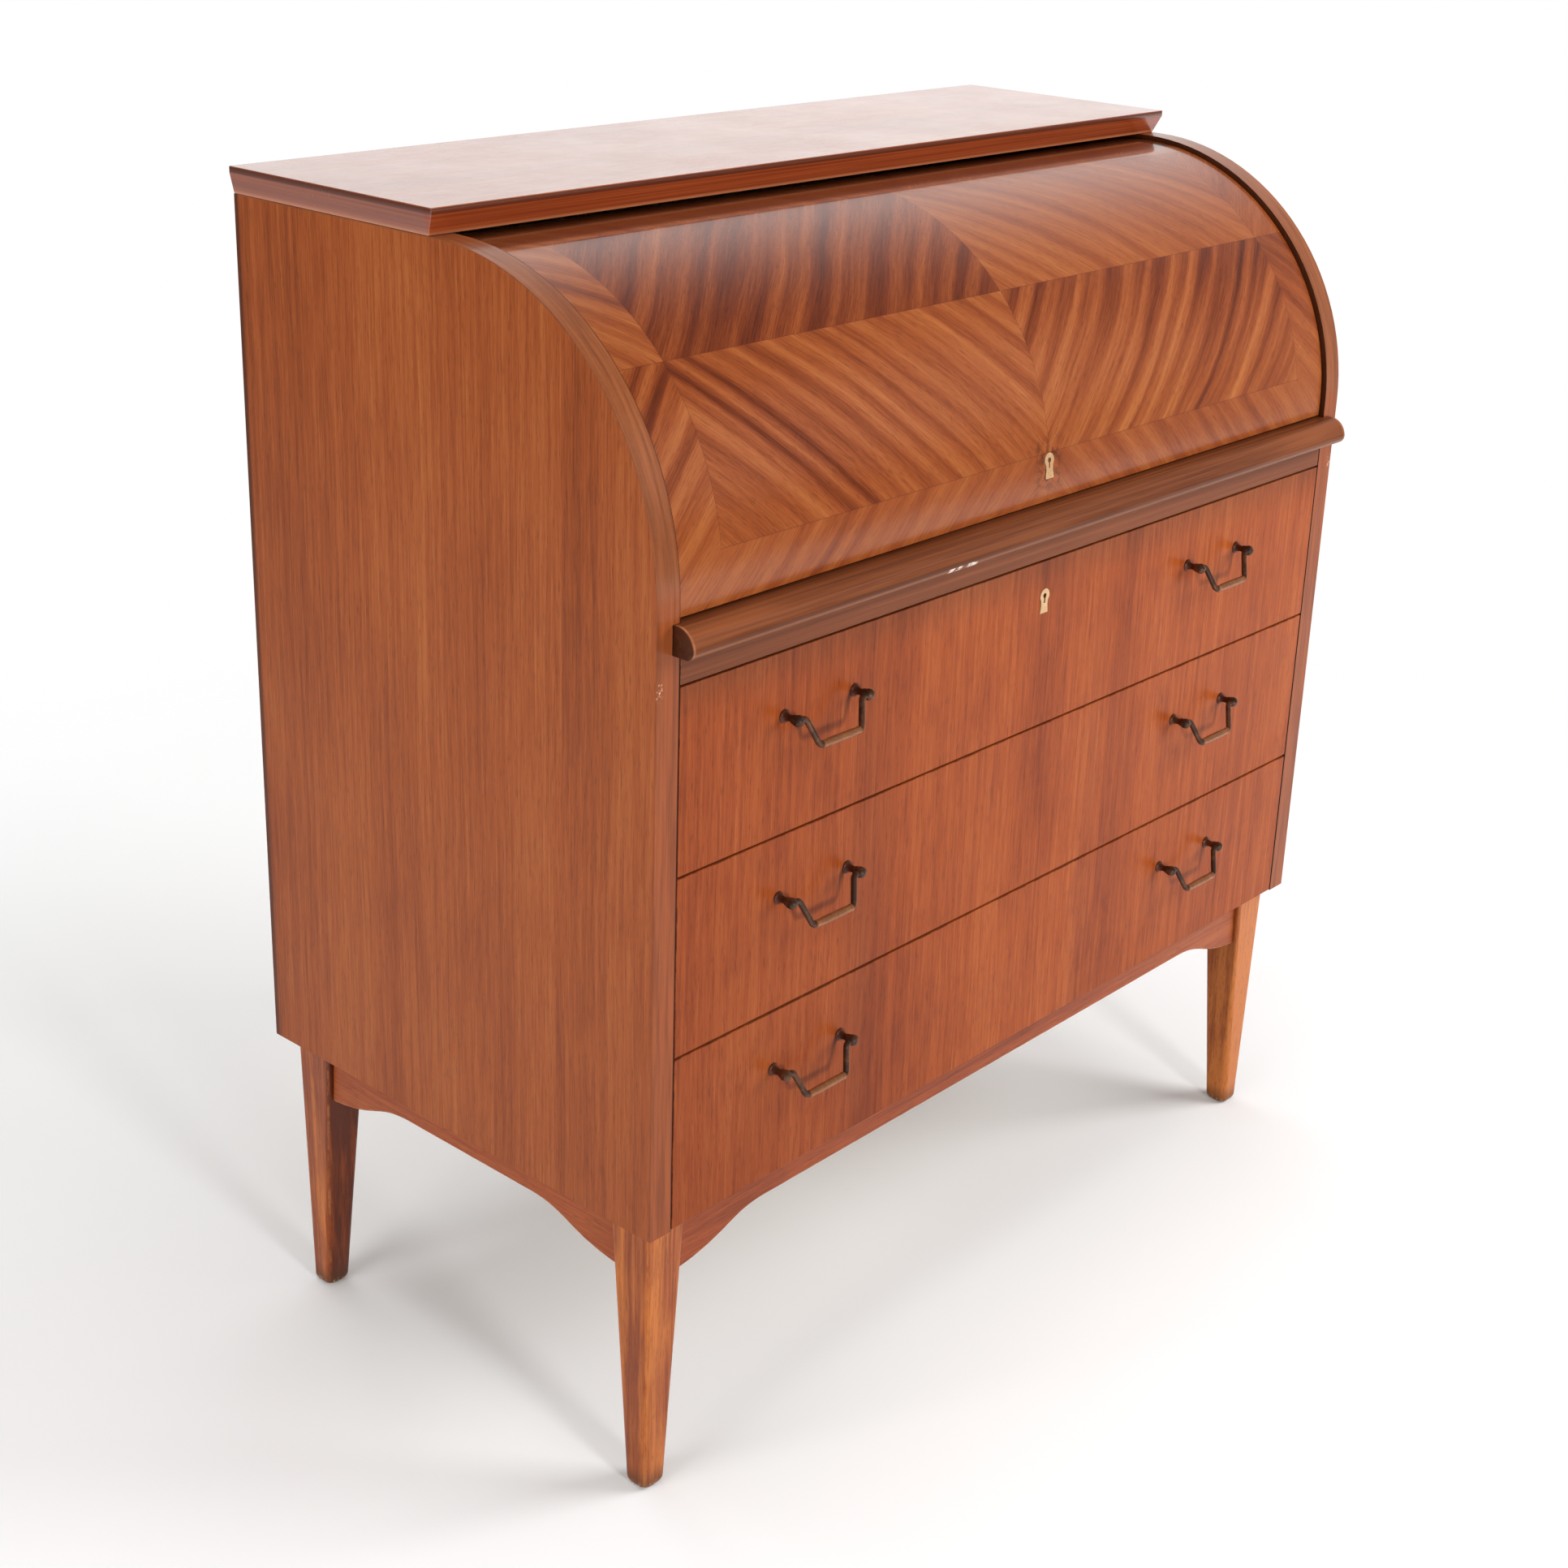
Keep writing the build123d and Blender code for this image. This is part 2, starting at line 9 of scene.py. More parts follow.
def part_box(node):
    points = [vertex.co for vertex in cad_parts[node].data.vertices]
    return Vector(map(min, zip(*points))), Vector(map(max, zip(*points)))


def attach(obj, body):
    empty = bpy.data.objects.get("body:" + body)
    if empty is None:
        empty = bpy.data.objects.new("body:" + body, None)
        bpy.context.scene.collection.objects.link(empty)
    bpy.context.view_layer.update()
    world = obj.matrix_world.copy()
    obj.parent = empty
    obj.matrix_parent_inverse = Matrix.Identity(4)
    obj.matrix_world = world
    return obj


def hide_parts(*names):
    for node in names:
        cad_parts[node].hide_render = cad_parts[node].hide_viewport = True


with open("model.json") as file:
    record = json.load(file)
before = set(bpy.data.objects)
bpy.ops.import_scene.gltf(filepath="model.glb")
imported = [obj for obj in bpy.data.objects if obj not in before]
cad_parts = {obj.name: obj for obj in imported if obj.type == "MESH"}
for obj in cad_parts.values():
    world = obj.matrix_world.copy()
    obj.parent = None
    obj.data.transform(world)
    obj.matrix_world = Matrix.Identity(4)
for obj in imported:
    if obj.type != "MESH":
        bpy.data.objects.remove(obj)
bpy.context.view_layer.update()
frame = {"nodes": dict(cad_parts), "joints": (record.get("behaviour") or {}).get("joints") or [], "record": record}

record = frame["record"]
body_of_node = {n: body for body, names in record["behaviour"]["bodies"].items() for n in names}
slot_of_node = {s["node"]: s["material_slot"] for s in record["subparts"]}
joint = {j["name"]: j for j in frame["joints"]}
finished_nodes = set()

# Sizes are in metres, in the desk's own frame

# Cylinder front and its veneer
roll_y, roll_z = joint["cylinder_roll"]["pos_m"][1:]
shell_low, shell_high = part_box("cylinder_shell")
shell_outer = roll_y - shell_low.y
shell_thickness = 0.012
shell_top = math.radians(97.0)
shell_steps = 96
shell_edge = 0.0010
seam_angle = math.radians(44.1)
seam_width = 0.0007
field_half_width = 0.382
field_half_height = 0.137
leaf_slant = 1.06
stripe_pitch = 0.0345
stripe_start = 0.02
outer_flame = (0.384, 0.014)
inner_flame = (0.356, 0.016)
top_shade = (0.306, 0.313)

# Side panels, top board, drawer fronts and rail
panel_low, panel_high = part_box("side_panel_left")
panel_radius = roll_y - panel_low.y
panel_back = panel_high.y
panel_inside = -panel_high.x
lipping = 0.0012
chip_height = 0.690
board_strip = 0.005
drawer_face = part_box("drawer_1_front")[0].y
drawers_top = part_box("drawer_1_front")[1].z
chin_drop = 0.0195

# Darker bands on the drawers and pale scuffs on the rail: place along X, then half width
left_band = (-0.209, 0.045)
right_band = (0.110, 0.050)
left_scuff = (-0.147, 0.012)
right_scuff = (-0.126, 0.009)

# Handles
post_spacing = 0.079
post_reach = 0.014
eye_radius = 0.0046
bail_radius = 0.0024
bail_bar = 0.047
bail_drop = 0.021
bail_bow = 0.008
bail_bend = 0.004
bail_inset = 0.0055
bar_radius = 0.0031
bar_shortening = 0.0022

# Legs
leg_top = 0.041
leg_foot = 0.0235
foot_step = 0.0025
leg_round = 0.0032
foot_round = 0.0065
foot_rings = 6
corner_steps = 6
middle_steps = (2, 3)

# Screws in the back panel
screw_radius = 0.0036
screw_rows = 6
slot_half_width = 0.00045

# Wood figure: size across the fibres, then along them
wander_size = (0.12, 0.35)
band_size = (0.060, 1.6)
streak_size = (0.0062, 0.50)
fibre_size = (0.0018, 0.050)
pore_size = (0.0008, 0.012)

# Camera, solved from the case's straight edges
lens_mm = 55.64
lens_shift = (-0.0144, -0.0483)
camera_right = (0.6639, -0.7470, 0.0339)
camera_up = (0.2489, 0.2635, 0.9320)
camera_back = (-0.7052, -0.6103, 0.3609)
camera_place = (panel_low.x - 1.1033, panel_low.y - 1.0909, 1.2816)

# Surround, floor and front lamps
backdrop_way = (0.705, 0.610, -0.361)
room_light = 0.21
dim_room = 0.12
floor_grey = 0.38
floor_half = 3.0
front_lamp = (-0.9, -3.2, 0.85)
front_aim = (0.0, 0.0, 0.6)


def paint(red, green, blue):
    """A colour as it looks on paper, 0 to 255, in the linear numbers that a shader takes."""
    def linear(c):
        c /= 255
        return c / 12.92 if c <= 0.04045 else ((c + 0.055) / 1.055) ** 2.4
    return (linear(red), linear(green), linear(blue), 1.0)


def grey(level):
    """An even grey, 0 to 1."""
    return (level, level, level, 1.0)


class Value:
    """One socket of a node tree. Arithmetic on it adds Math nodes."""

    def __init__(self, tree, socket):
        self.tree = tree
        self.socket = socket

    def math(self, operation, *others):
        return self.tree.node("ShaderNodeMath", {"operation": operation}, dict(enumerate((self, *others))))

    def __add__(self, other):
        return self.math("ADD", other)

    __radd__ = __add__

    def __sub__(self, other):
        return self.math("SUBTRACT", other)

    def __rsub__(self, other):
        return self.tree.node("ShaderNodeMath", {"operation": "SUBTRACT"}, {0: other, 1: self})

    def __mul__(self, other):
        return self.math("MULTIPLY", other)

    __rmul__ = __mul__

    def __abs__(self):
        return self.math("ABSOLUTE")

    def larger(self, other):
        return self.math("MAXIMUM", other)

    def smaller(self, other):
        return self.math("MINIMUM", other)

    def step(self, low, high):
        """0 below low, 1 above high, smooth between."""
        limits = {"Value": self, "From Min": low, "From Max": high}
        return self.tree.node("ShaderNodeMapRange", {"interpolation_type": "SMOOTHSTEP"}, limits)

    def line(self, middle, width):
        """1 on a line at middle, fading to 0 over width to either side."""
        return 1 - abs(self - middle).step(0.0, width)

    def other(self, name):
        """Another output of the same node."""
        return Value(self.tree, self.socket.node.outputs[name])


class Tree:
    """A node tree under construction."""

    def __init__(self, tree):
        self.tree = tree
        tree.nodes.clear()

    def node(self, kind, settings=None, values=None, out=0):
        """A new node with its settings, then its sockets' values or links. Returns one of its outputs."""
        made = self.tree.nodes.new(kind)
        for name, setting in (settings or {}).items():
            if name == "stops":
                elements = made.color_ramp.elements
                while len(elements) < len(setting):
                    elements.new(1.0)
                for element, (place, colour) in zip(elements, setting):
                    element.position = place
                    element.color = colour
            else:
                setattr(made, name, setting)
        for key, value in (values or {}).items():
            if isinstance(value, Value):
                self.tree.links.new(value.socket, made.inputs[key])
            else:
                made.inputs[key].default_value = value
        return Value(self, made.outputs[out]) if made.outputs else None

    def blend(self, factor, first, second, mode="MIX"):
        """Colour between first and second."""
        settings = {"data_type": "RGBA", "blend_type": mode}
        return self.node("ShaderNodeMix", settings, {0: factor, 6: first, 7: second}, 2)

    def ramp(self, tone, *stops):
        """Colour that runs through the stops as tone rises."""
        return self.node("ShaderNodeValToRGB", {"stops": stops}, {0: tone})

    def vector(self, x, y, z):
        return self.node("ShaderNodeCombineXYZ", None, {0: x, 1: y, 2: z})

    def noise(self, vector, detail=2.0, roughness=0.5):
        sockets = {"Vector": vector, "Scale": 1.0, "Detail": detail, "Roughness": roughness}
        return self.node("ShaderNodeTexNoise", None, sockets)


class Finish(Tree):
    """A material under construction."""

    def __init__(self, name):
        self.material = bpy.data.materials.new(name)
        self.material.use_nodes = True
        super().__init__(self.material.node_tree)
        self.place = self.node("ShaderNodeTexCoord", out="Object")
        self.x = self.node("ShaderNodeSeparateXYZ", None, {0: self.place})
        self.y = self.x.other("Y")
        self.z = self.x.other("Z")

    def figure(self, sizes, shift, detail=2.0, roughness=0.5, place=None):
        """Noise with spots of one size, or of the given sizes along X, Y and Z."""
        if isinstance(sizes, float):
            sizes = (sizes, sizes, sizes)
        scale = tuple(1 / size for size in sizes)
        stretched = self.node("ShaderNodeVectorMath", {"operation": "MULTIPLY_ADD"},
                              {0: place or self.place, 1: scale, 2: shift})
        return self.noise(stretched, detail, roughness)

    def moved(self, x, y, z):
        """The place on the piece, moved a little."""
        return self.node("ShaderNodeVectorMath", {"operation": "ADD"},
                         {0: self.place, 1: self.vector(x, y, z)})

    def attribute(self, name):
        """A value that the piece's faces hold, such as 1 on the softened edges."""
        return self.node("ShaderNodeAttribute", {"attribute_name": name}, out="Fac")

    def bump(self, height, strength, distance):
        sockets = {"Strength": strength, "Distance": distance, "Height": height}
        return self.node("ShaderNodeBump", None, sockets)

    def close(self, **sockets):
        """Ends the material in one surface shader with these sockets."""
        values = {name.replace("_", " "): value for name, value in sockets.items()}
        shader = self.node("ShaderNodeBsdfPrincipled", None, values)
        self.node("ShaderNodeOutputMaterial", None, {"Surface": shader})
        return self.material


def sizes_along(grain, across, along):
    """Pattern sizes along X, Y and Z for wood whose fibres run along one axis."""
    return tuple(along if axis == grain else across for axis in "XYZ")


def wood(name, grain, tones, shift, gloss=0.36, shine=0.2, coat=0.05, streak=0.5, worn=None, wear=0.5,
         trim=None):
    """Straight-grained wood: broad bands, narrow streaks, fine fibres, pores, and worn edges."""
    f = Finish(name)
    dark, middle, light = tones
    offset = (shift * 3.7, shift * 5.3, shift * 7.9)
    wander = f.figure(sizes_along(grain, *wander_size), offset, 1.0)
    drift = (wander - 0.5) * 0.008
    bent = f.moved(*[0.0 if axis == grain else drift for axis in "XYZ"])
    bands = f.figure(sizes_along(grain, *band_size), offset, 1.0, place=bent)
    streaks = f.figure(sizes_along(grain, *streak_size), offset, 3.0, 0.6, bent)
    fibres = f.figure(sizes_along(grain, *fibre_size), offset, 2.0, 0.6, bent)
    pores = f.figure(sizes_along(grain, *pore_size), offset, 1.0, place=bent)
    clouds = f.figure((0.16, 0.16, 0.22), offset)
    tone = 0.5 + (bands - 0.5) * (0.9 * streak) + (streaks - 0.5) * (1.3 * streak)
    tone = tone + (fibres - 0.5) * (1.3 * streak) + (clouds - 0.5) * 0.35
    colour = f.ramp(tone, (0.12, dark), (0.5, middle), (0.9, light))
    pits = pores.step(0.57, 0.70)
    colour = f.blend(pits * 0.35, colour, tuple(0.45 * c for c in dark[:3]) + (1.0,))
    if trim:
        colour, coat = trim(f, colour)
    if worn:
        patches = f.figure(0.018, offset, 3.0, 0.7).step(0.40, 0.62)
        colour = f.blend(f.attribute("edge") * patches * wear, colour, worn)
    smears = f.figure(0.09, offset, 3.0, 0.65)
    rough = gloss + (smears - 0.5) * 0.16 + (fibres - 0.5) * 0.10
    height = fibres * 0.5 - pits * 0.6
    return f.close(Base_Color=colour, Roughness=rough, Specular_IOR_Level=shine, Coat_Weight=coat,
                   Coat_Roughness=0.16, Normal=f.bump(height, 0.14, 0.0004))


def panel_edges(f, colour):
    """Polished round rim with rubbed edges, dusky front and rear edges, a painted shadow beside the shell, and a
    few chips by the slide.
    """
    forward = (roll_y - f.y).larger(0.0)
    upward = (f.z - roll_z).larger(0.0)
    depth = panel_radius - (forward * forward + upward * upward).math("SQRT")
    from_inside = abs(f.x) - panel_inside
    edge = f.attribute("edge")
    rim = 1 - depth.step(0.0004, lipping)
    high_up = upward.step(0.0, 0.02)
    crown = upward.step(0.140, 0.165)
    streaks = f.figure((0.004, 0.09, 0.09), (1.0, 3.0, 5.0), 3.0, 0.6)
    rim_dark = f.blend(high_up, paint(116, 57, 28), paint(112, 62, 35))
    rim_light = f.blend(high_up, paint(154, 80, 42), paint(148, 86, 50))
    colour = f.blend(rim * 0.8, colour, f.blend(streaks.step(0.3, 0.7), rim_dark, rim_light))
    patches = f.figure(0.014, (3.7, 5.3, 7.9), 3.0, 0.7).step(0.36, 0.58)
    lower_rim = high_up * (1 - crown)
    colour = f.blend(edge * patches * (0.25 + lower_rim * 0.6), colour, paint(224, 160, 118))
    outer_crown = from_inside.step(0.008, 0.012) * crown * forward.step(0.02, 0.03)
    colour = f.blend(edge * outer_crown * 0.8, colour, paint(76, 34, 18))
    chips = f.figure((0.004, 0.004, 0.003), (2.0, 6.0, 1.0), 3.0, 0.7).step(0.54, 0.62)
    corner = rim * from_inside.step(0.014, 0.019)
    colour = f.blend(chips * corner * f.z.line(chip_height, 0.010), colour, paint(222, 178, 142))
    # Painted shadow in the gap where the panel's inner face meets the shell
    shadow_beside_shell = (1 - from_inside.step(0.0003, 0.0009)) * (1 - depth.step(0.005, 0.007))
    colour = f.blend(shadow_beside_shell * 0.85, colour, paint(44, 20, 12))
    rear = (f.y - panel_back).step(-0.0065, -0.0030)
    return f.blend(rear * 0.75, colour, paint(62, 32, 20)), rim * high_up * 0.4 + 0.05


def board_edges(f, colour):
    """Dark upright strip round the top board, over a plain lipping that is redder at the front."""
    low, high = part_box("top_board")
    below = high.z - f.z
    streaks = f.figure((0.3, 0.3, 0.0022), (1.0, 4.0, 2.0), 2.0, 0.6)
    side = f.ramp(streaks, (0.2, paint(112, 54, 36)), (0.8, paint(156, 84, 58)))
    front = f.ramp(streaks, (0.2, paint(112, 42, 18)), (0.8, paint(168, 78, 38)))
    edge = f.blend((f.y - low.y).step(0.0078, 0.0086), front, side)
    strip = 1 - below.step(board_strip - 0.0006, board_strip)
    edge = f.blend(strip * 0.75, edge, paint(66, 32, 22))
    edge = f.blend(below.line(high.z - low.z, 0.0040) * 0.8, edge, paint(196, 124, 84))
    return f.blend(below.step(0.0003, 0.0009), colour, edge), 0.4


def drawer_bands(f, colour):
    """Two broad darker bands up through all the drawer fronts, painted shade at the lower left and a painted
    shadow under the rail.
    """
    # Painted shade: darker towards the lower left, most on the lowest drawer
    dusk = (1 - f.x.step(-0.45, 0.12)) * (0.62 - f.z.step(0.25, 0.70) * 0.32)
    colour = f.blend(dusk, colour, (0.61, 0.58, 0.66, 1.0), "MULTIPLY")
    mottle = f.figure((0.022, 0.022, 0.060), (8.0, 2.0, 5.0), 3.0, 0.6).step(0.46, 0.72)
    colour = f.blend(mottle * 0.5, colour, (0.72, 0.62, 0.66, 1.0), "MULTIPLY")
    # Painted shadow of the rail's nose, darkening the top of the top drawer
    rail_shadow = f.z.step(drawers_top - 0.038, drawers_top + 0.006)
    colour = f.blend(rail_shadow, colour, (0.70, 0.80, 0.95, 1.0), "MULTIPLY")
    soft = f.figure((0.03, 0.03, 0.5), (3.0, 1.0, 4.0)).step(0.30, 0.62)
    shade = (f.x.line(*left_band) * 0.55).larger(f.x.line(*right_band) * 0.5)
    return f.blend(shade * soft * 1.3, colour, (0.56, 0.48, 0.60, 1.0), "MULTIPLY"), 0.05


def figured_veneer(name):
    """Four matched leaves whose stripes run round a diamond, inside mirrored bands along all four edges."""
    f = Finish(name)
    turn = f.node("ShaderNodeMath", {"operation": "ARCTAN2"}, {0: f.z - roll_z, 1: roll_y - f.y})
    arc = turn * shell_outer
    rise = arc - seam_angle * shell_outer
    side = f.x.math("SIGN")
    upper = rise.math("SIGN")
    from_middle = abs(f.x)
    from_seam = abs(rise)
    past_end = from_middle - field_half_width
    past_edge = from_seam - field_half_height
    past_field = past_end.larger(past_edge)
    in_end_band = (past_end - past_edge.larger(0.0)).step(-0.0001, 0.0001)
    in_band = past_field.step(-0.0001, 0.0001)
    end_folded = field_half_width - abs(past_end)
    edge_folded = field_half_height - abs(past_edge)
    in_field = (from_middle + edge_folded * leaf_slant) * (1 - in_end_band)
    across = in_field + (end_folded + from_seam * leaf_slant) * in_end_band
    along = from_middle - from_seam + in_band * 2 * from_seam
    leaf = side * 0.31 + upper * 0.53 + in_band * 0.22
    wander = f.noise(f.vector(across * 4.0, along * 5.0, leaf), 1.0)
    across = across + (wander - 0.5) * 0.018 + leaf * 0.004
    leaf_z = leaf * 0.3
    bands = f.noise(f.vector(across * 14.0, along * 1.2, leaf_z), 1.0)
    ribbons = f.noise(f.vector(across * 45.0, along * 1.8, leaf_z), 2.0, 0.55)
    lines = f.noise(f.vector(across * 130.0, along * 3.0, leaf_z), 2.0, 0.6)
    fibres = f.noise(f.vector(across * 600.0, along * 22.0, leaf_z), 2.0, 0.6)
    pores = f.noise(f.vector(across * 1200.0, along * 70.0, leaf_z), 1.0)
    waves = ((across - stripe_start) * (2 * math.pi / stripe_pitch)).math("COSINE")
    flame = across.line(*outer_flame) * 0.32 + across.line(*inner_flame) * 0.24
    flame = flame * (0.6 - upper * 0.4) * (1.3 - side * 0.4)
    band_contrast = 1 - in_band * 0.5 + in_end_band * (0.5 - (1 + side) * 0.28)
    contrast = (0.86 - upper * 0.14 - side * upper * 0.19) * band_contrast
    dusk = (1 - side) * (1 + upper) * (1 - in_band) * (0.050 - from_seam.step(0.02, 0.12) * 0.022)
    dusk = dusk + (1 + side) * (1 - upper) * (0.030 - from_seam.step(0.0, 0.11) * 0.040)
    dusk = dusk + in_band * side * 0.025
    dusk = dusk - (1 + side) * (1 + upper) * (1 - in_band) * 0.0125
    stripes = waves * -0.09 * (0.3 + bands * 1.4) + (ribbons - 0.5) * 0.7 + (lines - 0.5) * 0.4 - flame
    tone = 0.60 + stripes * contrast + (bands - 0.5) * 0.3 + (fibres - 0.5) * 0.45 - dusk
    colour = f.ramp(tone, (0.05, paint(60, 22, 12)), (0.34, paint(109, 47, 20)),
                    (0.58, paint(143, 71, 32)), (0.95, paint(178, 105, 54)))
    seam = from_middle.line(0.0, seam_width).larger(from_seam.line(0.0, seam_width))
    border = past_field.line(0.0, seam_width)
    colour = f.blend(seam.larger(border) * 0.35, colour, paint(70, 30, 18))
    pits = pores.step(0.56, 0.70)
    colour = f.blend(pits * 0.35, colour, paint(58, 26, 16))
    # Painted shade and reflection of the top board's overhang along the top of the shell
    colour = f.blend(arc.step(*top_shade) * 0.66, colour, paint(44, 14, 12))
    plate_low, plate_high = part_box("cylinder_key_plate")
    from_plate = abs(f.z - (plate_low.z + plate_high.z) / 2).larger(from_middle * 1.2)
    scratches = f.figure(0.006, (1.0, 9.0, 4.0), 3.0, 0.7).step(0.42, 0.62)
    colour = f.blend((1 - from_plate.step(0.010, 0.028)) * scratches * 0.7, colour, paint(62, 28, 16))
    smears = f.figure(0.11, (4.0, 2.0, 8.0), 3.0, 0.65)
    return f.close(Base_Color=colour, Roughness=0.26 + (smears - 0.5) * 0.10, Specular_IOR_Level=0.22,
                   Coat_Weight=0.12 + arc.step(0.0, 0.09) * 0.4, Coat_Roughness=0.05,
                   Normal=f.bump(fibres * 0.5 - pits * 0.5, 0.10, 0.0003))


def rail_wood(name):
    """Dusky solid wood of the slide's rail, with a rubbed nose and two pale scuffs near its lower edge."""
    f = Finish(name)
    low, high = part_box("slide_rail")
    behind_front = f.y - low.y
    below_top = f.z - high.z
    streaks = f.figure((0.9, 0.004, 0.004), (2.0, 5.0, 1.0), 3.0, 0.6)
    fibres = f.figure((0.09, 0.0016, 0.0016), (1.0, 2.0, 3.0), 2.0, 0.6)
    clouds = f.figure((0.26, 0.05, 0.05), (6.0, 1.0, 4.0))
    tone = 0.5 + (streaks - 0.5) * 1.2 + (fibres - 0.5) * 0.6 + (clouds - 0.5) * 0.6
    colour = f.ramp(tone, (0.1, paint(58, 27, 14)), (0.5, paint(100, 52, 28)), (0.9, paint(134, 78, 46)))
    nose = below_top.step(-0.024, -0.004) * (1 - behind_front.step(0.004, 0.022))
    rubbed = f.figure((0.14, 0.02, 0.02), (3.0, 3.0, 1.0)).step(0.30, 0.62)
    near_ends = 0.06 + abs(f.x).step(0.26, 0.42) * 0.44
    colour = f.blend(nose * rubbed * near_ends, colour, paint(158, 88, 50))
    fascia = 1 - below_top.step(-0.038, -0.022)
    colour = f.blend(fascia * (0.24 + f.x.step(-0.3, 0.4) * 0.14), colour, paint(150, 88, 60))
    chin = below_top.line(-chin_drop, 0.0030) * (1 - behind_front.step(0.002, 0.006))
    colour = f.blend(chin * 0.45, colour, paint(176, 122, 92))
    scuffs = f.x.line(*left_scuff).larger(f.x.line(*right_scuff))
    specks = f.figure((0.005, 0.004, 0.0025), (1.0, 7.0, 2.0), 2.0, 0.7).step(0.38, 0.50)
    bare = chin.step(0.0, 0.4) * scuffs.step(0.1, 0.5) * specks
    colour = f.blend(bare, colour, paint(240, 226, 212))
    patches = f.figure(0.018, (5.0, 1.0, 2.0), 3.0, 0.7).step(0.40, 0.62)
    ring = abs(f.x).line(high.x - 0.0016, 0.0017) * (1 - behind_front.step(0.016, 0.022))
    colour = f.blend(ring * (0.35 + patches * 0.5), colour, paint(186, 120, 80))
    tip = abs(f.x).step(high.x - 0.004, high.x - 0.002)
    worn = f.attribute("edge") * (patches * 0.5 + tip * 0.5).smaller(0.9)
    colour = f.blend(worn, colour, paint(190, 126, 88))
    # Darker end faces: end grain, with painted shade
    end = abs(f.x).step(high.x - 0.0006, high.x - 0.0002)
    colour = f.blend(end * 0.8, colour, paint(52, 24, 14))
    rough = 0.40 + (clouds - 0.5) * 0.2 + (fibres - 0.5) * 0.1
    return f.close(Base_Color=colour, Roughness=rough, Specular_IOR_Level=0.14, Coat_Weight=0.03,
                   Coat_Roughness=0.25, Normal=f.bump(fibres, 0.18, 0.0004))


def leg_wood(name):
    """Warm solid wood of the legs, rubbed pale along the edges and dull and dark round the feet."""
    f = Finish(name)
    wander = f.figure((0.06, 0.06, 0.16), (1.0, 2.0, 3.0), 1.0)
    bent = f.moved((wander - 0.5) * 0.010, 0.0, 0.0)
    streaks = f.figure((0.008, 0.008, 0.30), (4.0, 1.0, 2.0), 3.0, 0.6, bent)
    fibres = f.figure((0.0018, 0.0018, 0.06), (7.0, 2.0, 5.0), 2.0, 0.6, bent)
    pores = f.figure((0.0008, 0.0008, 0.012), (3.0, 2.0, 5.0), 1.0, place=bent)
    clouds = f.figure((0.05, 0.05, 0.09), (3.0, 6.0, 2.0))
    at_right = f.x.step(-0.01, 0.01)
    at_rear = f.y.step(-0.01, 0.01)
    tone = 0.52 + (streaks - 0.5) * 1.2 + (fibres - 0.5) * 0.6 + (clouds - 0.5) * 0.8
    # Painted light and shade: front faces lighter on the front legs and much darker on the rear legs, shaded by
    # the case; the front right leg lighter all over
    tone = tone + f.attribute("front") * (0.15 - at_rear * 0.65) + at_right * (1 - at_rear) * 0.30
    colour = f.ramp(tone, (0.08, paint(92, 38, 16)), (0.5, paint(145, 69, 29)), (0.92, paint(198, 114, 52)))
    pits = pores.step(0.57, 0.70)
    colour = f.blend(pits * 0.4, colour, paint(62, 28, 14))
    foot = (1 - f.z.step(0.003, 0.024)) * (0.55 + clouds * 0.6)
    colour = f.blend(foot * 0.8, colour, paint(80, 52, 34))
    specks = f.figure(0.0026, (2.0, 4.0, 1.0), 2.0, 0.7).step(0.54, 0.64)
    colour = f.blend(specks * (1 - f.z.step(0.001, 0.009)) * 0.85, colour, paint(214, 186, 148))
    patches = f.figure((0.010, 0.010, 0.03), (5.0, 1.0, 2.0), 3.0, 0.7).step(0.42, 0.60)
    colour = f.blend(f.attribute("edge") * patches * 0.25, colour, paint(206, 140, 88))
    rough = 0.36 + (clouds - 0.5) * 0.2 + foot * 0.2
    return f.close(Base_Color=colour, Roughness=rough, Specular_IOR_Level=0.3, Coat_Weight=0.05,
                   Coat_Roughness=0.2, Normal=f.bump(fibres * 0.5 - pits * 0.5, 0.18, 0.0004))


def worn_metal(name, dull, bright, rubbed, rough, grime, metal=0.9, wall=None):
    """Metal with a patina, rubbed through where it is handled, with grime in its hollows, and painted shade and
    reflection of the wood by a wall.
    """
    f = Finish(name)
    coarse = f.figure(0.012, (1.0, 3.0, 2.0), 3.0, 0.65)
    fine = f.figure(0.0016, (4.0, 3.0, 7.0), 3.0, 0.6)
    through = (coarse.step(0.46, 0.64) * (0.35 * rubbed) + f.attribute("edge") * rubbed).smaller(1.0)
    colour = f.blend(through, dull, bright)
    colour = f.blend(fine.step(0.5, 0.68) * grime, colour, paint(34, 24, 16))
    # Painted shade and reflection of the wood: darker and redder within a few millimetres of the wall
    if wall is not None:
        colour = f.blend((1 - (wall - f.y).step(0.002, 0.009)) * 0.8, colour, paint(88, 42, 24))
    rough_here = rough + (fine - 0.5) * 0.25 - through * 0.1
    return f.close(Base_Color=colour, Roughness=rough_here, Metallic=metal,
                   Normal=f.bump(fine, 0.12, 0.0003))


# Dark, middle and light tone of each wood
case_tones = paint(112, 49, 20), paint(154, 77, 35), paint(180, 104, 53)
front_tones = paint(114, 46, 19), paint(160, 76, 33), paint(186, 102, 52)
apron_tones = paint(110, 46, 20), paint(152, 72, 36), paint(180, 100, 54)
inner_tones = paint(126, 60, 32), paint(168, 90, 50), paint(194, 120, 72)
pale_tones = paint(168, 126, 78), paint(204, 166, 116), paint(224, 192, 146)
ply_tones = paint(120, 82, 48), paint(164, 120, 76), paint(192, 150, 102)

